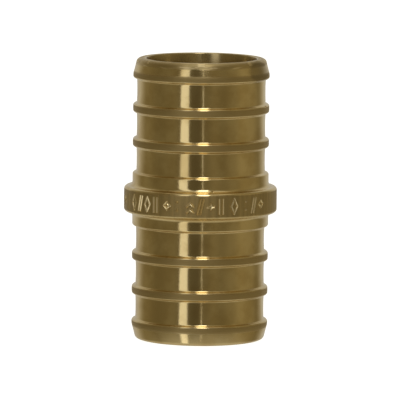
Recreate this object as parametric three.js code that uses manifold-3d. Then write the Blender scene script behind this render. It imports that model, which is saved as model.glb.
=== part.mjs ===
// A one-piece brass insert coupling that joins two lengths of plastic pipe.
// Each pipe is pushed over a ribbed spigot until it meets the collar, and a ring is crimped round it outside.
// Sizes are in millimetres. +Z runs along the bore, and the part stands on the origin on its lower nose.

import * as THREE from "three";
import { mergeVertices } from "three/addons/utils/BufferGeometryUtils.js";
import Module from "manifold-3d";

const wasm = await Module();
wasm.setup();

// Driving dimensions: across the part
const boreDiameter = 13.8;
const wallThickness = 1.2;
const ribHeight = 0.5;
const collarHeight = 1.55;

// Driving dimensions: along the part
const collarWidth = 3.3;
const neckLength = 1.75;
const grooveWidth = 3.2;
const ribWidth = 1.15;
const ribsPerSpigot = 2;
const noseLength = 2.5;
const crestLand = 0.55;
const ribSideRun = 0.15;
const crestBackRun = 0.2;

// Rounding of the turned edges and roots
const collarEdgeRadius = 0.45;
const collarRootRadius = 0.25;
const ribEdgeRadius = 0.3;
const grooveRootRadius = 0.2;
const crestBackRadius = 0.4;
const crestFrontRadius = 1.2;
const noseEdgeRadius = 0.35;
const boreChamfer = 0.15;

// Marks engraved in the front of the collar: plain geometric figures, from the left to the right
const markMargin = 0.15;
const markWidth = 1.1;
const markStroke = 0.22;
const markDepth = 0.18;
const markGroups = [
  ["slashes", "square", "bars"],
  ["diamond", "slashes", "diamond", "bars"],
  ["square", "dots"],
  ["chevrons", "slashes", "cross", "bars"],
  ["diamond"],
  ["dots", "slashes", "square"],
];

// Angles round the collar in degrees, counted from the front towards +X
const markStartAngle = -85;
const markPitch = 7.8;
const markGroupGap = 2.4;

// Facets of the mesh: a small rounding is drawn as one facet, and a larger one as several
const facetsAround = 48;
const arcSteps = 2;
const smallRounding = 0.25;

// Sizes that follow from the driving dimensions
const boreRadius = boreDiameter / 2;
const stemRadius = boreRadius + wallThickness;
const ribRadius = stemRadius + ribHeight;
const collarRadius = stemRadius + collarHeight;
const spigotLength = neckLength + ribsPerSpigot * (grooveWidth + ribWidth) + grooveWidth + noseLength;
const overallLength = collarWidth + 2 * spigotLength;
const middle = overallLength / 2;
const markHeight = collarWidth - 2 * (collarEdgeRadius + markMargin);

// A corner of the outline: its distance from the axis, its height above the middle, and its rounding.
const corner = (radius, height, rounding = 0) => ({ at: new THREE.Vector2(radius, height), rounding });

// The points that replace a corner: an arc that touches both of its sides, no longer than half of either.
function roundedCorner(before, { at, rounding }, after) {
  if (rounding === 0) return [at];
  const toBefore = before.at.clone().sub(at);
  const toAfter = after.at.clone().sub(at);
  const halfAngle = Math.abs(toBefore.angleTo(toAfter)) / 2;
  const longest = Math.min(toBefore.length(), toAfter.length()) / 2;
  const setback = Math.min(rounding / Math.tan(halfAngle), longest);
  const radius = setback * Math.tan(halfAngle);
  const bisector = toBefore.clone().normalize().add(toAfter.clone().normalize()).normalize();
  const centre = at.clone().addScaledVector(bisector, radius / Math.sin(halfAngle));
  const first = at.clone().addScaledVector(toBefore.normalize(), setback).sub(centre);
  const last = at.clone().addScaledVector(toAfter.normalize(), setback).sub(centre);
  const turn = Math.atan2(first.cross(last), first.dot(last));
  const steps = rounding > smallRounding ? arcSteps : 1;
  return Array.from({ length: steps + 1 }, (_, step) =>
    first.clone().rotateAround(new THREE.Vector2(), (turn * step) / steps).add(centre),
  );
}

// One spigot's outer corners, from the middle of the collar up to the nose's flat end.
function spigotCorners() {
  let height = collarWidth / 2;
  const corners = [
    corner(collarRadius, height, collarEdgeRadius),
    corner(ribRadius, height, collarRootRadius),
  ];
  const stepDown = () => {
    corners.push(corner(ribRadius, height - ribSideRun / 2, ribEdgeRadius));
    corners.push(corner(stemRadius, height + ribSideRun / 2, grooveRootRadius));
  };
  const stepUp = () => {
    corners.push(corner(stemRadius, height - ribSideRun / 2, grooveRootRadius));
    corners.push(corner(ribRadius, height + ribSideRun / 2, ribEdgeRadius));
  };
  height += neckLength;
  stepDown();
  for (let rib = 0; rib < ribsPerSpigot; rib++) {
    height += grooveWidth;
    stepUp();
    height += ribWidth;
    stepDown();
  }
  height += grooveWidth;
  corners.push(corner(stemRadius, height - crestBackRun / 2, grooveRootRadius));
  corners.push(corner(ribRadius, height + crestBackRun / 2, crestBackRadius));
  corners.push(corner(ribRadius, height + crestBackRun / 2 + crestLand, crestFrontRadius));
  corners.push(corner(stemRadius, height + noseLength, noseEdgeRadius));
  return corners;
}

// The closed outline that is turned round the axis: up the outside, and down the bore.
function outline() {
  const boreMouth = [
    corner(boreRadius + boreChamfer, overallLength / 2),
    corner(boreRadius, overallLength / 2 - boreChamfer),
  ];
  const upperHalf = [...spigotCorners(), ...boreMouth];
  const lowerHalf = upperHalf.map(({ at, rounding }) => corner(at.x, -at.y, rounding)).reverse();
  const corners = [...upperHalf, ...lowerHalf];
  const points = corners.flatMap((each, i) => {
    const before = corners.at(i - 1);
    const after = corners[(i + 1) % corners.length];
    return roundedCorner(before, each, after);
  });
  points.push(points[0].clone());
  return points;
}

// A mesh's geometry as a manifold-3d solid, with the vertices that its faces share merged.
function solidFrom(geometry) {
  const bare = geometry.clone().deleteAttribute("normal").deleteAttribute("uv");
  const merged = mergeVertices(bare);
  return new wasm.Manifold(
    new wasm.Mesh({
      numProp: 3,
      vertProperties: merged.getAttribute("position").array,
      triVerts: new Uint32Array(merged.index.array),
    }),
  );
}

// A manifold-3d solid as flat-shaded geometry.
function geometryFrom(solid) {
  const { vertProperties, triVerts } = solid.getMesh();
  const shared = new THREE.BufferGeometry();
  shared.setAttribute("position", new THREE.BufferAttribute(vertProperties, 3));
  shared.setIndex(new THREE.BufferAttribute(triVerts, 1));
  const faceted = shared.toNonIndexed();
  faceted.computeVertexNormals();
  return faceted;
}

// The body as it leaves the lathe, before its collar is marked.
function turnedBody() {
  const turned = new THREE.LatheGeometry(outline(), facetsAround);
  turned.rotateX(Math.PI / 2).translate(0, 0, middle);
  return solidFrom(turned);
}

// A flat figure from its corner points, with an optional figure cut out of it.
function figure(points, hole) {
  const shape = new THREE.Shape(points.map(([x, y]) => new THREE.Vector2(x, y)));
  if (hole) shape.holes.push(new THREE.Path(hole.map(([x, y]) => new THREE.Vector2(x, y))));
  return shape;
}

// A straight stroke between two points.
function stroke([x0, y0], [x1, y1]) {
  const along = new THREE.Vector2(x1 - x0, y1 - y0).setLength(markStroke / 2);
  const [dx, dy] = [-along.y, along.x];
  return figure([[x0 + dx, y0 + dy], [x0 - dx, y0 - dy], [x1 - dx, y1 - dy], [x1 + dx, y1 + dy]]);
}

// A chevron that points up, with the tips of its arms at the given height.
function chevron(y) {
  const rise = markWidth / 2;
  const thickness = markStroke * Math.SQRT2;
  const lower = [[-right, y], [0, y + rise], [right, y]];
  return figure([...lower, ...lower.map(([x, height]) => [x, height + thickness]).reverse()]);
}

// A diamond about a point, filled, or drawn as a line when it is large enough to hold one.
function diamond(y, halfWidth, halfHeight) {
  const points = (share) => [[-1, 0], [0, -1], [1, 0], [0, 1]].map(([side, rise]) => [
    side * halfWidth * share,
    y + rise * halfHeight * share,
  ]);
  const lineShare = 1 - (markStroke * Math.hypot(halfWidth, halfHeight)) / (halfWidth * halfHeight);
  return figure(points(1), lineShare > 0 ? points(lineShare) : undefined);
}

const right = markWidth / 2;
const top = markHeight / 2;

// Each mark's strokes, drawn about the mark's own centre.
const markShapes = {
  bars: () => [-0.6, 0.6].map((side) => stroke([right * side, -top], [right * side, top])),
  slashes: () => [-0.95, -0.05].map((foot) => stroke([right * foot, -top], [right * (foot + 1), top])),
  diamond: () => [diamond(0, right, top)],
  square: () => [diamond(0, right, right)],
  dots: () => [-0.55, 0.55].map((rise) => diamond(top * rise, markStroke, markStroke)),
  cross: () => [stroke([-right, 0], [right, 0]), stroke([0, -right], [0, right])],
  chevrons: () => [-0.85, -0.05].map((rise) => chevron(top * rise)),
};

// One mark's pockets, sunk into the collar at an angle in degrees.
function markPockets(kind, degrees) {
  const angle = THREE.MathUtils.degToRad(degrees);
  const outward = new THREE.Vector3(Math.sin(angle), -Math.cos(angle), 0);
  const sideways = new THREE.Vector3(Math.cos(angle), Math.sin(angle), 0);
  const up = new THREE.Vector3(0, 0, 1);
  const floor = outward.clone().multiplyScalar(collarRadius - markDepth).setZ(middle);
  const place = new THREE.Matrix4().makeBasis(sideways, up, outward).setPosition(floor);
  return markShapes[kind]().map((shape) => {
    const pocket = new THREE.ExtrudeGeometry(shape, { depth: 2 * markDepth, bevelEnabled: false });
    return solidFrom(pocket.applyMatrix4(place));
  });
}

// Every mark's pockets, with a wider gap after each group.
function allMarkPockets() {
  const pockets = [];
  let degrees = markStartAngle;
  for (const group of markGroups) {
    for (const kind of group) {
      pockets.push(...markPockets(kind, degrees));
      degrees += markPitch;
    }
    degrees += markGroupGap;
  }
  return pockets;
}

const brass = new THREE.MeshStandardMaterial({
  name: "yellow_brass",
  color: 0x9c8146,
  metalness: 1,
  roughness: 0.28,
});

const markedBody = allMarkPockets().reduce((body, pocket) => body.subtract(pocket), turnedBody());
const couplingBody = new THREE.Mesh(geometryFrom(markedBody), brass);
couplingBody.name = "coupling_body";

const coupling = new THREE.Group();
coupling.add(couplingBody);

export default coupling;
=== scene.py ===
"""Looks of a one-piece brass insert coupling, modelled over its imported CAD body.

The body is turned from one rounded outline, generic figures are sunk in its collar, and a few
small dents are pressed in its edges. Everything is in metres, with +Z along the bore.
"""

import math

import bmesh
import bpy
from bpy.props import FloatProperty, FloatVectorProperty, IntProperty, PointerProperty
from mathutils import Matrix, Vector


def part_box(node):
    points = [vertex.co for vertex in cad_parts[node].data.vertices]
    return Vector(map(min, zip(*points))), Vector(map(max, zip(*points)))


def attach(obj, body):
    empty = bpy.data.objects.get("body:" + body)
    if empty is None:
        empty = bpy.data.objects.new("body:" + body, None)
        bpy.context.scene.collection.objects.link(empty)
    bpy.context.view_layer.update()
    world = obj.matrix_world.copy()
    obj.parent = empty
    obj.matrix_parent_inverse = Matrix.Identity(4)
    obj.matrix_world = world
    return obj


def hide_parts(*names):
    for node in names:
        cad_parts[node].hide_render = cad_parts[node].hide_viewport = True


bl_info = {
    "name": "Brass Insert Coupling",
    "version": (1, 0, 0),
    "blender": (4, 5, 0),
    "location": "3D View > Sidebar > Coupling",
    "description": "Models a ribbed brass pipe coupling, its finish and its studio",
    "category": "Object",
}

MM = 0.001
NODE = "coupling_body"
BODY = "brass_coupling"

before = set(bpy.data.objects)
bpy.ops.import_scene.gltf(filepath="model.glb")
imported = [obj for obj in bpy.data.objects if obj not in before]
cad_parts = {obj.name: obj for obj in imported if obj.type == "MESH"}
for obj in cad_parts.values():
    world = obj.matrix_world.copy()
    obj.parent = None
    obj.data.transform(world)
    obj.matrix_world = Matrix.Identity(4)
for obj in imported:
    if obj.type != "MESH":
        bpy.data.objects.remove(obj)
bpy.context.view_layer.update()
cad_low, cad_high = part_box(NODE)

# The figures in the front of the collar, from the left to the right
FIGURE_GROUPS = (
    ("slashes", "square", "bars"),
    ("diamond", "slashes", "diamond", "bars"),
    ("square", "dots"),
    ("chevrons", "slashes", "cross", "bars"),
    ("diamond",),
    ("dots", "slashes", "square"),
)

# Small dents in the edges: degrees round from the front, and then in mm the radius, the height
# above the middle, and the length
NICKS = (
    (10, 8.79, 1.84, 0.50),
    (72, 8.53, 12.05, 0.55),
    (-38, 9.55, -1.54, 0.35),
    (118, 9.55, 1.54, 0.45),
    (163, 8.53, 7.70, 0.45),
    (-146, 8.53, -6.65, 0.50),
    (-104, 8.54, -15.36, 0.40),
    (140, 8.01, 17.73, 0.40),
    (-160, 8.01, -17.73, 0.45),
)

# The panel lights: degrees round from the front, degrees up, and degrees wide and tall
LIGHTS = {
    "strip_light": (-29.2, 8, 15.3, 112),
    "slim_light": (3.6, -2, 1.0, 80),
    "high_lamp": (6.4, 58, 13, 38),
    "overhead_light": (0, 84, 50, 50),
}

# The room's walls, which the brass mirrors: degrees round from the front, and brightness
WALLS = (
    (-180, 1.0), (-115, 1.1), (-80, 0.85), (-50, 0.95), (-25, 0.55), (-5, 0.5), (10, 0.8),
    (25, 1.0), (40, 0.9), (60, 1.1), (80, 1.45), (105, 1.35), (125, 1.05), (180, 1.0),
)


def length(label, about, millimetres):
    """A length in the sidebar, with its default given in millimetres."""
    return FloatProperty(
        name=label,
        description=about,
        default=millimetres * MM,
        unit="LENGTH",
        subtype="DISTANCE",
        precision=5,
    )


def angle(label, about, degrees):
    """An angle in the sidebar, with its default given in degrees."""
    return FloatProperty(
        name=label, description=about, default=math.radians(degrees), subtype="ANGLE",
    )


def shade(label, about, colour):
    """A colour in the sidebar."""
    return FloatVectorProperty(
        name=label, description=about, default=colour, subtype="COLOR", min=0, max=1,
    )


def share(label, about, default):
    """A number from 0 to 1 in the sidebar."""
    return FloatProperty(
        name=label, description=about, default=default, subtype="FACTOR", min=0, max=1,
    )


def strength(label, about, default):
    """A light's brightness in the sidebar."""
    return FloatProperty(name=label, description=about, default=default, min=0)


def count(label, about, default, least):
    """A whole number in the sidebar."""
    return IntProperty(name=label, description=about, default=default, min=least)


class CouplingSizes(bpy.types.PropertyGroup):
    """Sizes of the turned body."""

    overall_length: length(
        "Overall length", "From one nose to the other", (cad_high.z - cad_low.z) / MM,
    )
    collar_radius: length("Collar radius", "Outer radius of the collar", cad_high.x / MM)
    rib_radius: length("Rib radius", "Outer radius of the ribs, the necks and the nose crests", 8.6)
    groove_radius: length("Groove radius", "Radius at the ends of each groove", 8.13)
    groove_belly: length("Groove belly", "How much deeper each groove is in its middle", 0.035)
    belly_start: share(
        "Belly start", "Where the belly starts, as a share of the groove's width", 0.32,
    )
    rib_crown: length("Rib crown", "How much lower a rib is at its edges than in its middle", 0.025)
    bore_radius: length("Bore radius", "Radius of the bore", 6.9)
    collar_width: length("Collar width", "Width of the collar along the bore", 3.3)
    neck_length: length("Neck length", "From the collar to the first groove", 1.75)
    groove_width: length("Groove width", "Width of each groove", 3.2)
    rib_width: length("Rib width", "Width of each rib", 1.15)
    side_run: length("Side run", "How far a rib's side leans along the bore", 0.15)
    crest_land: length("Crest land", "Straight part of a nose's crest", 0.55)
    tip_radius: length("Tip radius", "Outer radius of a nose at its flat end", 8.1)
    collar_edge: length("Collar edge", "Rounding of the collar's edges", 0.45)
    collar_root: length("Collar root", "Rounding where a neck meets the collar", 0.58)
    rib_edge: length("Rib edge", "Rounding of the ribs' edges", 0.26)
    groove_root: length("Groove root", "Rounding at the foot of the ribs", 0.22)
    crest_back: length("Crest back", "Rounding of a nose crest on its groove's side", 0.3)
    crest_front: length("Crest front", "Rounding of a nose crest on its outer side", 1.2)
    tip_edge: length("Tip edge", "Rounding of a nose at its flat end", 0.55)
    bore_edge: length("Bore edge", "Rounding of the bore's mouths", 0.12)
    mouth_flare: length("Mouth flare", "How much wider the bore is at its mouths", 0.08)
    mouth_depth: length("Mouth depth", "How far the bore's flare reaches in", 1.5)
    ribs: count("Ribs", "Ribs on each spigot", 2, 1)
    steps_around: count("Steps around", "Steps of the turning", 256, 32)
    rounding_steps: count("Rounding steps", "Steps of each rounded corner", 6, 2)


class FigureSizes(bpy.types.PropertyGroup):
    """Sizes of the figures sunk in the collar."""

    height: length("Height", "Height of a figure", 2.1)
    width: length("Width", "Width of a figure", 1.1)
    depth: length("Depth", "Depth of the strokes, which are twice as wide", 0.18)
    foot: length("Foot", "Rounding at the bottom of the strokes", 0.03)
    first: angle("First figure", "Place of the first figure, counted from the front", -85)
    pitch: angle("Pitch", "From one figure to the next", 7.8)
    gap: angle("Group gap", "What is added after each group", 2.4)


class BrassFinish(bpy.types.PropertyGroup):
    """Colours and polish of the brass."""

    colour: shade("Brass", "Colour of the clean brass", (0.78, 0.62, 0.32))
    tarnish: shade("Tarnish", "Colour of the tarnished brass", (0.62, 0.46, 0.20))
    # Also painted shade: the feet of the figures' strokes are darkened with this colour
    stain_and_shade: shade("Stained", "Colour of a dark stain", (0.30, 0.23, 0.11))
    worn: shade("Worn", "Colour of the faces that rub", (0.56, 0.42, 0.18))
    dulled: shade("Dulled", "Colour of the upper nose's tip", (0.50, 0.38, 0.18))
    # In the figures this lighter brass is partly fresh metal and partly a painted highlight on the
    # strokes; at the upper nose's tip it is scraped metal
    struck_and_highlight: shade("Struck", "Colour of the fresh metal in the figures", (0.92, 0.76, 0.44))
    oxidised: shade("Oxidised", "Colour inside the bore", (0.61, 0.49, 0.26))
    turned: share("Turned", "Roughness of the turned faces", 0.15)
    bored: share("Bored", "Least roughness of the bore", 0.23)
    sunk: share("Sunk", "Least roughness of the figures", 0.3)
    edges: share("Edges", "Roughness of the rounded edges and roots", 0.16)
    rubbed: share("Rubbed", "Roughness of the faces that rub", 0.6)
    brushing: share("Brushing", "How far the turning spreads a highlight", 0.8)


class Studio(bpy.types.PropertyGroup):
    """The camera and the lights."""

    distance: length("Distance", "From the camera to the coupling", 800)
    lens: FloatProperty(name="Lens", description="Focal length", default=569.8, unit="CAMERA")
    elevation: angle("Elevation", "How far the camera looks down", 6.58)
    roll: angle("Roll", "How far the camera leans", 0.53)
    room: shade("Room", "Colour of the walls that the brass mirrors", (0.200, 0.169, 0.100))
    backdrop: shade(
        "Backdrop", "Colour behind the coupling that the brass mirrors", (0.50, 0.48, 0.43),
    )
    floor: shade("Floor", "Colour of the floor that the brass mirrors", (0.50, 0.48, 0.42))
    strip_light: strength("Strip light", "Brightness of the tall strip on the left", 0.79)
    slim_light: strength("Slim light", "Brightness of the slim strip in front", 0.8)
    high_lamp: strength("High lamp", "Brightness of the lamp high in front", 2.7)
    overhead_light: strength("Overhead light", "Brightness of the panel overhead", 0.3)


# Selecting and drawing


def deselect_all():
    """Leaves nothing selected in object mode."""
    bpy.ops.object.select_all(action="DESELECT")


def only(piece):
    """Makes one piece the only one selected, and the active one."""
    deselect_all()
    piece.select_set(True)
    bpy.context.view_layer.objects.active = piece
    return piece


def select_where(piece, test, kind="VERT"):
    """Selects in edit mode the vertices, edges or faces that pass a test."""
    bpy.ops.mesh.select_mode(type=kind)
    bpy.ops.mesh.select_all(action="DESELECT")
    mesh = bmesh.from_edit_mesh(piece.data)
    for part in {"VERT": mesh.verts, "EDGE": mesh.edges, "FACE": mesh.faces}[kind]:
        if test(part):
            part.select_set(True)
    mesh.select_flush_mode()
    bmesh.update_edit_mesh(piece.data)


def apply_place():
    """Moves the selected pieces' place, turn and scale into their meshes."""
    bpy.ops.object.transform_apply(location=True, rotation=True, scale=True)


def select_corner(piece, place):
    """Selects in edit mode the vertex that is nearest to a place."""
    nearest = min((vertex.co - place).length for vertex in bmesh.from_edit_mesh(piece.data).verts)
    select_where(piece, lambda vertex: (vertex.co - place).length <= nearest)


# The turned body

# Closer points than this are merged
DOUBLES = 0.001 * MM

# The most of a side that the rounding of one of its corners takes up
SIDE_SHARE = 0.49


def half_outline(sizes):
    """Corners of the upper half, from the collar's middle over the nose and down the bore."""
    corners = []

    def corner(radius, height, rounding=0.0):
        corners.append((radius, height, rounding))

    lean = sizes.side_run / 2
    low_edge = sizes.rib_radius - sizes.rib_crown
    height = sizes.collar_width / 2
    corner(sizes.collar_radius, 0)
    corner(sizes.collar_radius, height, sizes.collar_edge)
    corner(sizes.rib_radius, height, sizes.collar_root)
    height += sizes.neck_length
    corner(sizes.rib_radius, height - lean, sizes.rib_edge)
    corner(sizes.groove_radius, height + lean, sizes.groove_root)
    for rib in range(sizes.ribs + 1):
        belly = sizes.groove_radius - sizes.groove_belly
        corner(belly, height + sizes.groove_width * sizes.belly_start, sizes.groove_width)
        corner(belly, height + sizes.groove_width * (1 - sizes.belly_start), sizes.groove_width)
        height += sizes.groove_width
        if rib < sizes.ribs:
            corner(sizes.groove_radius, height - lean, sizes.groove_root)
            corner(low_edge, height + lean, sizes.rib_edge)
            corner(sizes.rib_radius, height + sizes.rib_width / 2, sizes.rib_width)
            height += sizes.rib_width
            corner(low_edge, height - lean, sizes.rib_edge)
            corner(sizes.groove_radius, height + lean, sizes.groove_root)
    corner(sizes.groove_radius, height - lean, sizes.groove_root)
    corner(sizes.rib_radius, height, sizes.crest_back)
    corner(sizes.rib_radius, height + sizes.crest_land, sizes.crest_front)
    top = sizes.overall_length / 2
    corner(sizes.tip_radius, top, sizes.tip_edge)
    corner(sizes.bore_radius + sizes.mouth_flare, top, sizes.bore_edge)
    corner(sizes.bore_radius, top - sizes.mouth_depth, sizes.mouth_depth)
    corner(sizes.bore_radius, 0)
    return [(Vector((radius, 0, height)), rounding) for radius, height, rounding in corners]


def setback(before, corner, after):
    """How far from a corner its rounding starts, within what its two sides leave free."""
    at, rounding = corner
    sides = [(place - at, neighbour) for place, neighbour in (before, after)]
    reach = rounding / math.tan(sides[0][0].angle(sides[1][0]) / 2)
    room = [
        max(SIDE_SHARE * side.length, 2 * SIDE_SHARE * side.length - neighbour)
        for side, neighbour in sides
    ]
    return min(reach, *room)


def draw_outline(corners, middle):
    """The half outline as one line in edit mode, drawn from corner to corner."""
    deselect_all()
    bpy.ops.mesh.primitive_plane_add(size=MM, location=middle)
    body = bpy.context.active_object
    body.name = body.data.name = BODY
    bpy.ops.object.mode_set(mode="EDIT")
    bpy.ops.mesh.select_mode(type="VERT")
    bpy.ops.mesh.select_all(action="SELECT")
    bpy.ops.mesh.merge(type="CENTER")
    bpy.ops.transform.translate(value=corners[0][0])
    for (here, _), (there, _) in zip(corners, corners[1:]):
        bpy.ops.mesh.extrude_region_move(TRANSFORM_OT_translate={"value": there - here})
    return body


def round_corners(body, corners, steps):
    """Rounds the outline's corners in edit mode."""
    for before, corner, after in zip(corners, corners[1:], corners[2:]):
        at, rounding = corner
        if rounding:
            select_corner(body, at)
            bpy.ops.mesh.bevel(
                offset=setback(before, corner, after),
                offset_type="OFFSET",
                segments=steps,
                profile=0.5,
                affect="VERTICES",
            )


def mirror_half(body):
    """Adds the lower half, and turns every face outwards."""
    mirror = body.modifiers.new("Other half", "MIRROR")
    mirror.use_axis = (False, False, True)
    mirror.merge_threshold = DOUBLES
    only(body)
    bpy.ops.object.modifier_apply(modifier=mirror.name)
    bpy.ops.object.mode_set(mode="EDIT")
    bpy.ops.mesh.select_all(action="SELECT")
    bpy.ops.mesh.normals_make_consistent(inside=False)
    bpy.ops.object.mode_set(mode="OBJECT")


def turn_body(sizes):
    """The whole body, turned from its half outline and mirrored to the other half."""
    corners = half_outline(sizes)
    middle = Vector((0, 0, sizes.overall_length / 2))
    body = draw_outline(corners, middle)
    round_corners(body, corners, sizes.rounding_steps)
    bpy.ops.mesh.select_all(action="SELECT")
    bpy.ops.mesh.spin(steps=sizes.steps_around, angle=math.tau, center=middle, axis=(0, 0, 1))
    bpy.ops.mesh.select_all(action="SELECT")
    bpy.ops.mesh.remove_doubles(threshold=DOUBLES)
    bpy.ops.object.mode_set(mode="OBJECT")
    mirror_half(body)
    apply_place()
    return body


class COUPLING_OT_turn_body(bpy.types.Operator):
    """Turn the coupling's body over the CAD body"""

    bl_idname = "coupling.turn_body"
    bl_label = "Turn the Body"

    def execute(self, context):
        body = turn_body(context.scene.coupling_sizes)
        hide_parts(NODE)
        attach(body, "root")
        return {"FINISHED"}


# The figures in the collar

# How much of a figure's size its strokes' own thickness takes up, as a share of their depth
STROKE_MARGIN = 1.4

# A nick's shape: its length, its thickness and its width to each other, and how it leans
NICK_SHAPE = (1, 0.5, 0.55)
NICK_LEAN = math.radians(25)


def figure_strokes(kind, height, width):
    """Ends of a figure's strokes, across and up from its centre, in shares of its half size."""
    side, top = width / 2, height / 2

    def ring(across, up):
        points = [(across, 0), (0, up), (-across, 0), (0, -up)]
        return list(zip(points, points[1:] + points[:1]))

    def chevron(foot):
        peak = (0, foot + side)
        return [((-side, foot), peak), ((side, foot), peak)]

    strokes = {
        "bars": [((x, -top), (x, top)) for x in (-0.6 * side, 0.6 * side)],
        "slashes": [((x, -top), (x + side, top)) for x in (-0.95 * side, -0.05 * side)],
        "diamond": ring(side, top),
        "square": ring(side, side),
        "dots": [((0, y - 0.1 * side), (0, y + 0.1 * side)) for y in (-0.55 * top, 0.55 * top)],
        "cross": [((-side, 0), (side, 0)), ((0, -side), (0, side))],
        "chevrons": chevron(-0.85 * top) + chevron(-0.05 * top),
    }
    return strokes[kind]


def stroke_cutter(start, end, figures, radius, middle):
    """A bar with an edge foremost, which cuts one stroke as a small V in the collar's front."""
    (x0, z0), (x1, z1) = start, end
    thickness = figures.depth * 2
    deselect_all()
    bpy.ops.mesh.primitive_cube_add(size=1)
    cutter = bpy.context.active_object
    cutter.scale = (math.hypot(x1 - x0, z1 - z0) + figures.depth, thickness, thickness)
    bpy.ops.object.transform_apply(location=False, rotation=False, scale=True)
    bpy.ops.object.mode_set(mode="EDIT")
    select_where(cutter, lambda edge: all(v.co.y > 0 and v.co.z < 0 for v in edge.verts), "EDGE")
    bpy.ops.mesh.bevel(offset=figures.foot, segments=2, affect="EDGES")
    bpy.ops.object.mode_set(mode="OBJECT")
    foot = Vector(((x0 + x1) / 2, figures.depth - radius, middle + (z0 + z1) / 2))
    lean = Matrix.Rotation(-math.atan2(z1 - z0, x1 - x0), 4, "Y")
    edge_on = Matrix.Rotation(math.pi / 4, 4, "X")
    inset = Matrix.Translation((0, -thickness / math.sqrt(2), 0))
    cutter.matrix_world = Matrix.Translation(foot) @ lean @ inset @ edge_on
    only(cutter)
    apply_place()
    return cutter


def cut_with(piece, tool, operation, name):
    """Applies a boolean on a piece and removes the tool."""
    boolean = piece.modifiers.new(name, "BOOLEAN")
    boolean.operation = operation
    boolean.solver = "MANIFOLD"
    boolean.object = tool
    only(piece)
    bpy.ops.object.modifier_apply(modifier=boolean.name)
    bpy.data.objects.remove(tool)


def joined(pieces):
    """Several pieces joined in one, with its place in its mesh."""
    deselect_all()
    for piece in pieces:
        piece.select_set(True)
    bpy.context.view_layer.objects.active = pieces[0]
    if len(pieces) > 1:
        bpy.ops.object.join()
    apply_place()
    return bpy.context.active_object


def figure_cutters(figures, radius, middle):
    """Cutters for every figure, each modelled once at the front and copied round the collar."""
    kinds = {kind for group in FIGURE_GROUPS for kind in group}
    margin = STROKE_MARGIN * figures.depth
    models = {}
    for kind in sorted(kinds):
        strokes = figure_strokes(kind, figures.height - margin, figures.width - margin)
        first, *others = [stroke_cutter(*stroke, figures, radius, middle) for stroke in strokes]
        for other in others:
            cut_with(first, other, "UNION", "Strokes")
        models[kind] = joined([first])
    cutters = []
    turn = figures.first
    for group in FIGURE_GROUPS:
        for kind in group:
            only(models[kind])
            bpy.ops.object.duplicate()
            cutter = bpy.context.active_object
            cutter.rotation_euler.z = turn
            cutters.append(cutter)
            turn += figures.pitch
        turn += figures.gap
    for model in models.values():
        bpy.data.objects.remove(model)
    return joined(cutters)


class COUPLING_OT_sink_figures(bpy.types.Operator):
    """Sink the figures in the front of the collar"""

    bl_idname = "coupling.sink_figures"
    bl_label = "Sink the Figures"

    def execute(self, context):
        sizes = context.scene.coupling_sizes
        figures = context.scene.coupling_figures
        body = bpy.data.objects[BODY]
        faces = len(body.data.polygons)
        cutters = figure_cutters(figures, sizes.collar_radius, sizes.overall_length / 2)
        cut_with(body, cutters, "DIFFERENCE", "Figures")
        if len(body.data.polygons) <= faces:
            raise RuntimeError("the figures were not cut")
        return {"FINISHED"}


def nick_cutter(turn, radius, height, long, middle):
    """A small rounded tool, longer round the coupling than it is thick."""
    deselect_all()
    bpy.ops.mesh.primitive_ico_sphere_add(subdivisions=3, radius=long * MM / 2)
    cutter = bpy.context.active_object
    cutter.scale = NICK_SHAPE
    cutter.location = (0, -radius * MM, middle + height * MM)
    cutter.rotation_euler.y = NICK_LEAN
    apply_place()
    cutter.rotation_euler.z = math.radians(turn)
    apply_place()
    return cutter


class COUPLING_OT_nick_edges(bpy.types.Operator):
    """Press a few small dents in the edges"""

    bl_idname = "coupling.nick_edges"
    bl_label = "Nick the Edges"

    def execute(self, context):
        body = bpy.data.objects[BODY]
        middle = context.scene.coupling_sizes.overall_length / 2
        for nick in NICKS:
            before = len(body.data.vertices)
            cut_with(body, nick_cutter(*nick, middle), "DIFFERENCE", "Nick")
            if len(body.data.vertices) == before:
                raise RuntimeError("a nick missed the body")
        return {"FINISHED"}


# The brass

# A dark stain on the right of the upper nose: its middle, how far it spreads each way, and how
# far the clouds shift its edge
STAIN_PLACE = Vector((7.5, -3.8, 34.2)) * MM
STAIN_SPREAD = Vector((2.9, 2.9, 1.6)) * MM
STAIN_UNEVENNESS = 0.8

# A pair below is where a finish starts to change and where it has changed
STAIN_FADE = (0.3, 0.65)

# Rubbing on the ribs and on the collar: depths below their faces, and heights above the neck's end
RIB_RUB = (0.12 * MM, 0.05 * MM)
COLLAR_RUB = (0.10 * MM, 0.03 * MM)
NECK_FADE = 0.2 * MM

# How far a face may tilt up or down and still rub, and from where the tumbling has rounded it
RUBBED_TILT = (0.15, 0.45)
TUMBLED_TILT = (0.3, 0.5)

# The figures' lighter brass, partly fresh metal and partly a painted highlight: depths below the
# collar's face of its bottom, its top and the feet that painted shade darkens
FIGURE_BOTTOM = (0.26 * MM, 0.22 * MM)
FIGURE_TOP = (0.06 * MM, 0.02 * MM)
FIGURE_FEET = (0.17 * MM, 0.14 * MM)
# How much of the dark colour the painted shade in the figures' feet lays on
FEET_SHADE = 0.6

# How far in from the collar's edges the figures' metal ends
FIGURE_MARGIN = (0.50 * MM, 0.46 * MM)

# How far down the upper nose its scuffed tip reaches, and how far outside its wall the bore's
# finish ends
TIP = (0.85 * MM, 0.60 * MM)
BORE_WALL = (0.2 * MM, 0.3 * MM)

# Scales of the patterns, per metre
RING_SCALE = 9000.0
GRAIN_SCALE = 6500.0
CLOUD_SCALE = 260.0
RIPPLE_SCALE = 2600.0
STREAK_SCALE = 120.0
SCUFF_SCALE = 5200.0

# How much the patterns that run round the axis change on their way round
RING_SPREAD = 0.6
STREAK_SPREAD = 22.0
SCUFF_SPREAD = 4.5

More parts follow.
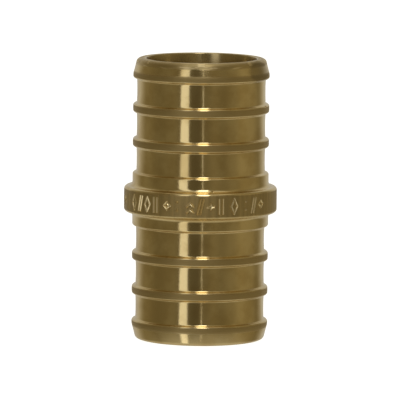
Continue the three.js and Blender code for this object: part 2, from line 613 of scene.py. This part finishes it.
# The parts of the patterns that show, in the colour and in the polish
TARNISHED_CLOUDS = (0.40, 0.64)
DULL_CLOUDS = (0.35, 0.75)
FRESH_SCUFFS = (0.52, 0.62)
ROUGH_SCUFFS = (0.4, 0.6)
STREAKED = (0.35, 0.7)

# The most that a coat covers the clean brass
TARNISH_COVER = 0.75
DULLED_COVER = 0.7
STAIN_COVER = 0.6

# The streaks' least and most brightness
STREAK_BRIGHTNESS = (0.9, 1.12)

# The least and most that clouds and scuffs add to the roughness, and what the stain adds
CLOUD_ROUGHNESS = (-0.01, 0.05)
SCUFF_ROUGHNESS = (0.2, 0.4)
STAIN_ROUGHNESS = 0.15

# How much less metallic the rubbed faces are
RUBBED_LOSS = 0.6

# Heights of the fine relief, and how strongly its rings and its grain show
RING_RELIEF = 0.005 * MM
CLOUD_RELIEF = 0.003 * MM
RIPPLE_RELIEF = 0.0011 * MM
GRAIN_RELIEF = 0.012 * MM
RING_STRENGTH = 0.5
GRAIN_STRENGTH = 0.5

# How much finer the bore's texture is than that of the outside
BORE_CALM = 0.7

# How far the turning's direction is turned from the way round the axis, in full turns
BRUSHED_TURN = 0.25

# Sharper edges than this stay sharp in the shading
SHARP_EDGE = math.radians(32)


class Nodes:
    """Adds and links the nodes of one material or world."""

    def __init__(self, tree):
        tree.nodes.clear()
        self.tree = tree

    def add(self, kind, inputs=None, **settings):
        """A node with its settings, and its inputs as values or links."""
        node = self.tree.nodes.new(kind)
        for name, value in settings.items():
            setattr(node, name, value)
        for key, value in (inputs or {}).items():
            if isinstance(value, bpy.types.NodeSocket):
                self.tree.links.new(value, node.inputs[key])
            else:
                node.inputs[key].default_value = value
        return node

    def math(self, operation, *values):
        """The result of a sum on values or links."""
        return self.add("ShaderNodeMath", dict(enumerate(values)), operation=operation).outputs[0]

    def product(self, first, *others):
        """Values or links multiplied together."""
        for other in others:
            first = self.math("MULTIPLY", first, other)
        return first

    def total(self, first, *others):
        """Values or links added together."""
        for other in others:
            first = self.math("ADD", first, other)
        return first

    def between(self, value, low, high, to_low=0.0, to_high=1.0):
        """A value taken smoothly from one range to another."""
        inputs = {
            "Value": value,
            "From Min": low,
            "From Max": high,
            "To Min": to_low,
            "To Max": to_high,
        }
        node = self.add("ShaderNodeMapRange", inputs, interpolation_type="SMOOTHSTEP")
        return node.outputs["Result"]

    def blend(self, part, first, second):
        """Two colours blended, with a part of the second."""
        colours = {"Factor": part, "A": first, "B": second}
        return self.add("ShaderNodeMix", colours, data_type="RGBA").outputs["Result"]

    def scaled(self, colour, by):
        """A colour made lighter or darker."""
        inputs = {0: colour, "Scale": by}
        return self.add("ShaderNodeVectorMath", inputs, operation="SCALE").outputs[0]

    def noise(self, place, scale=1.0, detail=2.0, roughness=0.5, **more):
        """A cloudy pattern round 0.5."""
        inputs = {"Vector": place, "Scale": scale, "Detail": detail, "Roughness": roughness, **more}
        dimensions = "4D" if "W" in more else "3D"
        return self.add("ShaderNodeTexNoise", inputs, noise_dimensions=dimensions).outputs[0]

    def bump(self, pattern, amount, distance, before=None):
        """A relief, on top of the one before it."""
        inputs = {"Height": pattern, "Strength": amount, "Distance": distance}
        if before:
            inputs["Normal"] = before
        return self.add("ShaderNodeBump", inputs).outputs[0]


class BrassNodes(Nodes):
    """Turned brass: fine rings round the axis, dull where it rubs, lightly tarnished, with painted
    highlight and painted shade in its figures.
    """

    def __init__(self, tree, sizes, finish):
        super().__init__(tree)
        self.finish = finish
        self.place = self.add("ShaderNodeTexCoord").outputs["Object"]
        self.x, self.y, self.z = self.add("ShaderNodeSeparateXYZ", {0: self.place}).outputs
        squares = [self.product(side, side) for side in (self.x, self.y)]
        self.radius = self.math("SQRT", self.total(*squares))
        self.draw_patterns()
        self.find_zones(sizes)
        self.find_stain()

    def around(self, spread, along):
        """Coordinates that run round the axis, whatever the face."""
        sides = [self.math("DIVIDE", side, self.radius) for side in (self.x, self.y)]
        x, y = (self.product(side, spread) for side in sides)
        return self.add("ShaderNodeCombineXYZ", {0: x, 1: y, 2: along}).outputs[0]

    def draw_patterns(self):
        """The marks of the tool, the grain, the clouds of tarnish, and the fine lines of wear."""
        rings = self.around(RING_SPREAD, self.product(self.z, RING_SCALE))
        self.rings = self.noise(rings, roughness=0.6, W=self.product(self.radius, RING_SCALE))
        self.grain = self.noise(self.place, GRAIN_SCALE, detail=3.0, roughness=0.55)
        self.clouds = self.noise(self.place, CLOUD_SCALE, detail=4.0, roughness=0.55)
        self.ripples = self.noise(self.place, RIPPLE_SCALE, detail=1.0)
        streaks = self.around(STREAK_SPREAD, self.product(self.z, STREAK_SCALE))
        self.streaks = self.noise(streaks, detail=3.0)
        over_the_edge = self.total(self.z, self.radius)
        scuffs = self.around(SCUFF_SPREAD, self.product(over_the_edge, SCUFF_SCALE))
        self.scuffs = self.noise(scuffs)

    def risen(self, value, edge, depths):
        """Rises from 0 to 1 as a value comes up to an edge, between two depths below it."""
        return self.between(value, *(edge - depth for depth in depths))

    def fallen(self, value, edge, depths, most=1.0):
        """Falls to 0 as a value comes up to an edge, between two depths below it."""
        return self.between(value, *(edge - depth for depth in depths), most, 0.0)

    def find_zones(self, sizes):
        """Where the brass is rubbed, tumbled, bored, sunk or scuffed, each from 0 to 1."""
        normal = self.add("ShaderNodeNewGeometry").outputs["Normal"]
        tilt = self.math("ABSOLUTE", self.add("ShaderNodeSeparateXYZ", {0: normal}).outputs[2])
        height = self.math("ABSOLUTE", self.math("SUBTRACT", self.z, sizes.overall_length / 2))
        neck_end = sizes.collar_width / 2 + sizes.neck_length
        on_rib = self.product(
            self.risen(self.radius, sizes.rib_radius, RIB_RUB),
            self.between(height, neck_end, neck_end + NECK_FADE),
        )
        self.on_collar = self.risen(self.radius, sizes.collar_radius, COLLAR_RUB)
        outermost = self.math("MAXIMUM", on_rib, self.on_collar)
        self.rubbed = self.product(outermost, self.between(tilt, *RUBBED_TILT, 1.0, 0.0))
        self.tumbled = self.between(tilt, *TUMBLED_TILT)

        bore = [sizes.bore_radius + depth for depth in BORE_WALL]
        self.in_bore = self.between(self.radius, *bore, 1.0, 0.0)
        outside = self.math("SUBTRACT", 1.0, self.in_bore)
        self.scuffed = self.product(self.risen(self.z, sizes.overall_length, TIP), outside)

        self.in_figures = self.product(
            self.fallen(self.radius, sizes.collar_radius, FIGURE_TOP),
            self.risen(self.radius, sizes.collar_radius, FIGURE_BOTTOM),
            self.fallen(height, sizes.collar_width / 2, FIGURE_MARGIN),
        )
        # Painted shade: the feet of the strokes, deep in the figures, are darkened
        feet = self.fallen(self.radius, sizes.collar_radius, FIGURE_FEET, FEET_SHADE)
        self.figure_feet_shade = self.product(self.in_figures, feet)

    def find_stain(self):
        """Where the stain is, with an uneven edge."""
        placing = {
            "Vector": self.place,
            "Location": [-middle / spread for middle, spread in zip(STAIN_PLACE, STAIN_SPREAD)],
            "Scale": [1 / spread for spread in STAIN_SPREAD],
        }
        from_middle = self.add("ShaderNodeMapping", placing).outputs[0]
        away = self.add("ShaderNodeVectorMath", {0: from_middle}, operation="LENGTH")
        shift = self.product(self.clouds, STAIN_UNEVENNESS)
        uneven = self.math("SUBTRACT", away.outputs["Value"], shift)
        self.stain = self.between(uneven, *STAIN_FADE, 1.0, 0.0)

    def roughness(self):
        """The turned face's polish, and what tumbling, rubbing and stains make of it."""
        finish = self.finish
        rough = self.total(
            finish.turned,
            self.product(self.tumbled, finish.edges - finish.turned),
            self.product(self.rubbed, finish.rubbed - finish.turned),
        )
        rough = self.math("MAXIMUM", rough, self.product(self.in_bore, finish.bored))
        rough = self.math("MAXIMUM", rough, self.product(self.in_figures, finish.sunk))
        return self.total(
            rough,
            self.product(self.scuffed, self.between(self.scuffs, *ROUGH_SCUFFS, *SCUFF_ROUGHNESS)),
            self.between(self.clouds, *DULL_CLOUDS, *CLOUD_ROUGHNESS),
            self.product(self.stain, STAIN_ROUGHNESS),
        )

    def colour(self):
        """The clean brass under its tarnish, wear and stains, and the painted highlight and painted
        shade of the figures, faintly streaked on the collar.
        """
        finish = self.finish
        tarnish = self.product(self.between(self.clouds, *TARNISHED_CLOUDS), TARNISH_COVER)
        scraped = self.product(self.scuffed, self.between(self.scuffs, *FRESH_SCUFFS))
        coats = (
            (tarnish, finish.tarnish),
            (self.rubbed, finish.worn),
            (self.product(self.scuffed, DULLED_COVER), finish.dulled),
            (scraped, finish.struck_and_highlight),
            # The figures: lighter brass, partly fresh metal and partly a painted highlight, then
            # painted shade at the strokes' feet
            (self.in_figures, finish.struck_and_highlight),
            (self.figure_feet_shade, finish.stain_and_shade),
            (self.in_bore, finish.oxidised),
            (self.product(self.stain, STAIN_COVER), finish.stain_and_shade),
        )
        colour = (*finish.colour, 1)
        for part, coat in coats:
            colour = self.blend(part, colour, (*coat, 1))
        streaks = self.between(self.streaks, *STREAKED, *STREAK_BRIGHTNESS)
        change = self.product(self.on_collar, self.math("SUBTRACT", streaks, 1.0))
        return self.scaled(colour, self.total(1.0, change))

    def relief(self):
        """Rings, clouds, ripples, and the grain of the rubbed faces."""
        texture = self.math("SUBTRACT", 1.0, self.product(self.in_bore, BORE_CALM))
        relief = self.bump(self.rings, self.product(texture, RING_STRENGTH), RING_RELIEF)
        relief = self.bump(self.clouds, 1.0, CLOUD_RELIEF, relief)
        relief = self.bump(self.ripples, texture, RIPPLE_RELIEF, relief)
        grain = self.product(self.rubbed, GRAIN_STRENGTH)
        return self.bump(self.grain, grain, GRAIN_RELIEF, relief)

    def build_shader(self):
        """The shader, with its highlights stretched round the axis."""
        tangent = self.add("ShaderNodeTangent", direction_type="RADIAL", axis="Z").outputs[0]
        inputs = {
            "Base Color": self.colour(),
            "Metallic": self.math("SUBTRACT", 1.0, self.product(self.rubbed, RUBBED_LOSS)),
            "Roughness": self.roughness(),
            "Normal": self.relief(),
            "Anisotropic": self.finish.brushing,
            "Anisotropic Rotation": BRUSHED_TURN,
            "Tangent": tangent,
        }
        shader = self.add("ShaderNodeBsdfPrincipled", inputs)
        self.add("ShaderNodeOutputMaterial", {"Surface": shader.outputs[0]})


def brass_material(finish, sizes):
    """The brass of the whole coupling."""
    material = bpy.data.materials.new("turned_brass")
    material.use_nodes = True
    BrassNodes(material.node_tree, sizes, finish).build_shader()
    return material


class COUPLING_OT_finish_brass(bpy.types.Operator):
    """Give the coupling its brass and its smooth shading"""

    bl_idname = "coupling.finish_brass"
    bl_label = "Finish the Brass"

    def execute(self, context):
        scene = context.scene
        body = only(bpy.data.objects[BODY])
        body.data.materials.clear()
        body.data.materials.append(brass_material(scene.coupling_finish, scene.coupling_sizes))
        bpy.ops.object.shade_smooth_by_angle(angle=SHARP_EDGE)
        weighted = body.modifiers.new("Even shading", "WEIGHTED_NORMAL")
        weighted.keep_sharp = True
        bpy.ops.object.modifier_apply(modifier=weighted.name)
        return {"FINISHED"}


# The studio

# From the panel lights to the coupling, in metres
LIGHT_DISTANCE = 1.0

# A ramp holds at most 1, so the walls' brightness is divided by this in it
RAMP_TOP = 3.0

# In degrees, the backdrop's middle, which is a little left of the back, and where the walls give
# way to it
BACKDROP_TURN = 4
BACKDROP_EDGE = (120, 152)

# How far down the walls give way to the floor, as the height of a direction
FLOOR_EDGE = (-0.8, -0.45)

# The floor's size, how far below the coupling it lies, and its own glow, which keeps it white
FLOOR_SIZE = 3
FLOOR_GAP = 0.01 * MM
FLOOR_GLOW = 0.95
FLOOR_GREY = (0.9, 0.9, 0.9, 1)
WHITE = (1, 1, 1, 1)

# Where the camera aims, to the side of the coupling's middle and above it
AIM_ASIDE = -0.047 * MM
AIM_UP = -0.222 * MM


def aimed(place, target):
    """A turn that faces a light from its place to a target."""
    return (target - place).to_track_quat("-Z", "Y").to_euler()


def seen_from_middle(middle, around, up, distance):
    """A place seen from the coupling's middle, with the angle round it counted from the front."""
    flat = distance * math.cos(up)
    across, ahead = flat * math.sin(around), -flat * math.cos(around)
    return middle + Vector((across, ahead, distance * math.sin(up)))


def panel_light(name, angles, brightness, middle):
    """A soft, even light that faces the coupling and is seen only in what it mirrors."""
    around, up, width, height = (math.radians(angle) for angle in angles)
    across = 2 * LIGHT_DISTANCE * math.tan(width / 2)
    tall = 2 * LIGHT_DISTANCE * math.tan(height / 2)
    place = seen_from_middle(middle, around, up, LIGHT_DISTANCE)
    deselect_all()
    bpy.ops.object.light_add(type="AREA", location=place, rotation=aimed(place, middle))
    light = bpy.context.active_object
    light.name = light.data.name = name
    light.data.shape = "RECTANGLE"
    light.data.size, light.data.size_y = across, tall
    light.data.energy = brightness * math.pi * across * tall
    light.visible_camera = False
    light.visible_diffuse = False


def wall_brightness(nodes, around):
    """The walls' brightness by the angle round the coupling."""
    turn = nodes.total(nodes.math("DIVIDE", around, math.tau), 0.5)
    ramp = nodes.add("ShaderNodeValToRGB", {0: turn})
    ramp.color_ramp.interpolation = "EASE"
    points = ramp.color_ramp.elements
    while len(points) < len(WALLS):
        points.new(0.5)
    for point, (degrees, brightness) in zip(points, WALLS):
        point.position = degrees / 360 + 0.5
        point.color = (*[brightness / RAMP_TOP] * 3, 1)
    return nodes.product(ramp.outputs[0], RAMP_TOP)


def room_light(studio):
    """White behind the camera's view, and a plain warm room in what the brass mirrors."""
    world = bpy.data.worlds.new("studio_room")
    bpy.context.scene.world = world
    world.use_nodes = True
    nodes = Nodes(world.node_tree)
    way = nodes.add("ShaderNodeTexCoord").outputs["Generated"]
    x, y, z = nodes.add("ShaderNodeSeparateXYZ", {0: way}).outputs
    around = nodes.math("ARCTAN2", x, nodes.product(y, -1.0))
    walls = nodes.scaled(studio.room, wall_brightness(nodes, around))
    behind = nodes.math("ABSOLUTE", nodes.math("SUBTRACT", around, math.radians(BACKDROP_TURN)))
    past_walls = nodes.between(behind, *(math.radians(edge) for edge in BACKDROP_EDGE))
    mirrored = nodes.blend(past_walls, walls, (*studio.backdrop, 1))
    mirrored = nodes.blend(nodes.between(z, *FLOOR_EDGE, 1.0, 0.0), mirrored, (*studio.floor, 1))
    room = nodes.add("ShaderNodeBackground", {"Color": mirrored, "Strength": 1.0}).outputs[0]
    backdrop = nodes.add("ShaderNodeBackground", {"Color": WHITE, "Strength": 1.0}).outputs[0]
    seen = nodes.add("ShaderNodeLightPath").outputs["Is Camera Ray"]
    mix = nodes.add("ShaderNodeMixShader", {0: seen, 1: room, 2: backdrop}).outputs[0]
    nodes.add("ShaderNodeOutputWorld", {"Surface": mix})


def pale_floor():
    """A plain pale floor that the brass doesn't mirror."""
    deselect_all()
    bpy.ops.mesh.primitive_plane_add(size=FLOOR_SIZE, location=(0, 0, cad_low.z - FLOOR_GAP))
    floor = bpy.context.active_object
    floor.name = floor.data.name = "pale_floor"
    apply_place()
    material = bpy.data.materials.new("pale_floor")
    material.use_nodes = True
    finish = {
        "Base Color": FLOOR_GREY,
        "Roughness": 0.9,
        "Specular IOR Level": 0.0,
        "Emission Color": WHITE,
        "Emission Strength": FLOOR_GLOW,
    }
    for name, value in finish.items():
        material.node_tree.nodes["Principled BSDF"].inputs[name].default_value = value
    floor.data.materials.append(material)
    floor.visible_glossy = False
    floor.visible_diffuse = False
    floor.visible_shadow = False


def studio_camera(studio, middle):
    """A long lens that looks a little down on the coupling."""
    deselect_all()
    ahead = Vector((0, math.cos(studio.elevation), -math.sin(studio.elevation)))
    up = Vector((0, math.sin(studio.elevation), math.cos(studio.elevation)))
    aim = middle + Vector((AIM_ASIDE, 0, 0)) + AIM_UP * up
    bpy.ops.object.camera_add()
    camera = bpy.context.active_object
    camera.name = camera.data.name = "studio_camera"
    camera.matrix_world = (
        Matrix.Translation(aim - ahead * studio.distance)
        @ Matrix.Rotation(math.pi / 2 - studio.elevation, 4, "X")
        @ Matrix.Rotation(studio.roll, 4, "Z")
    )
    camera.data.lens = studio.lens
    camera.data.sensor_width = 36
    camera.data.clip_start, camera.data.clip_end = 0.01, 20
    bpy.context.scene.camera = camera


class COUPLING_OT_set_stage(bpy.types.Operator):
    """Set the floor, the lights and the camera round the coupling"""

    bl_idname = "coupling.set_stage"
    bl_label = "Set the Stage"

    def execute(self, context):
        studio = context.scene.coupling_studio
        middle = (cad_low + cad_high) / 2
        studio_camera(studio, middle)
        pale_floor()
        room_light(studio)
        for name, angles in LIGHTS.items():
            panel_light(name, angles, getattr(studio, name), middle)
        context.scene.view_settings.view_transform = "Standard"
        return {"FINISHED"}


class COUPLING_PT_sidebar(bpy.types.Panel):
    """Lists the coupling's sizes and steps"""

    bl_idname = "COUPLING_PT_sidebar"
    bl_label = "Brass Coupling"
    bl_space_type = "VIEW_3D"
    bl_region_type = "UI"
    bl_category = "Coupling"

    def draw(self, context):
        for operator in OPERATORS:
            self.layout.operator(operator.bl_idname)
        for label, kind in GROUPS.items():
            box = self.layout.box()
            settings = getattr(context.scene, label)
            for name in kind.__annotations__:
                box.prop(settings, name)


GROUPS = {
    "coupling_sizes": CouplingSizes,
    "coupling_figures": FigureSizes,
    "coupling_finish": BrassFinish,
    "coupling_studio": Studio,
}
OPERATORS = (
    COUPLING_OT_turn_body,
    COUPLING_OT_sink_figures,
    COUPLING_OT_nick_edges,
    COUPLING_OT_finish_brass,
    COUPLING_OT_set_stage,
)
CLASSES = (*GROUPS.values(), *OPERATORS, COUPLING_PT_sidebar)


def register():
    """Adds the classes, and the settings to every scene."""
    for each in CLASSES:
        bpy.utils.register_class(each)
    for label, kind in GROUPS.items():
        setattr(bpy.types.Scene, label, PointerProperty(type=kind))


def unregister():
    """Removes what register adds."""
    for label in GROUPS:
        delattr(bpy.types.Scene, label)
    for each in reversed(CLASSES):
        bpy.utils.unregister_class(each)


def main():
    register()
    bpy.ops.coupling.turn_body()
    bpy.ops.coupling.sink_figures()
    bpy.ops.coupling.nick_edges()
    bpy.ops.coupling.finish_brass()
    bpy.ops.coupling.set_stage()


if __name__ == "__main__":
    main()
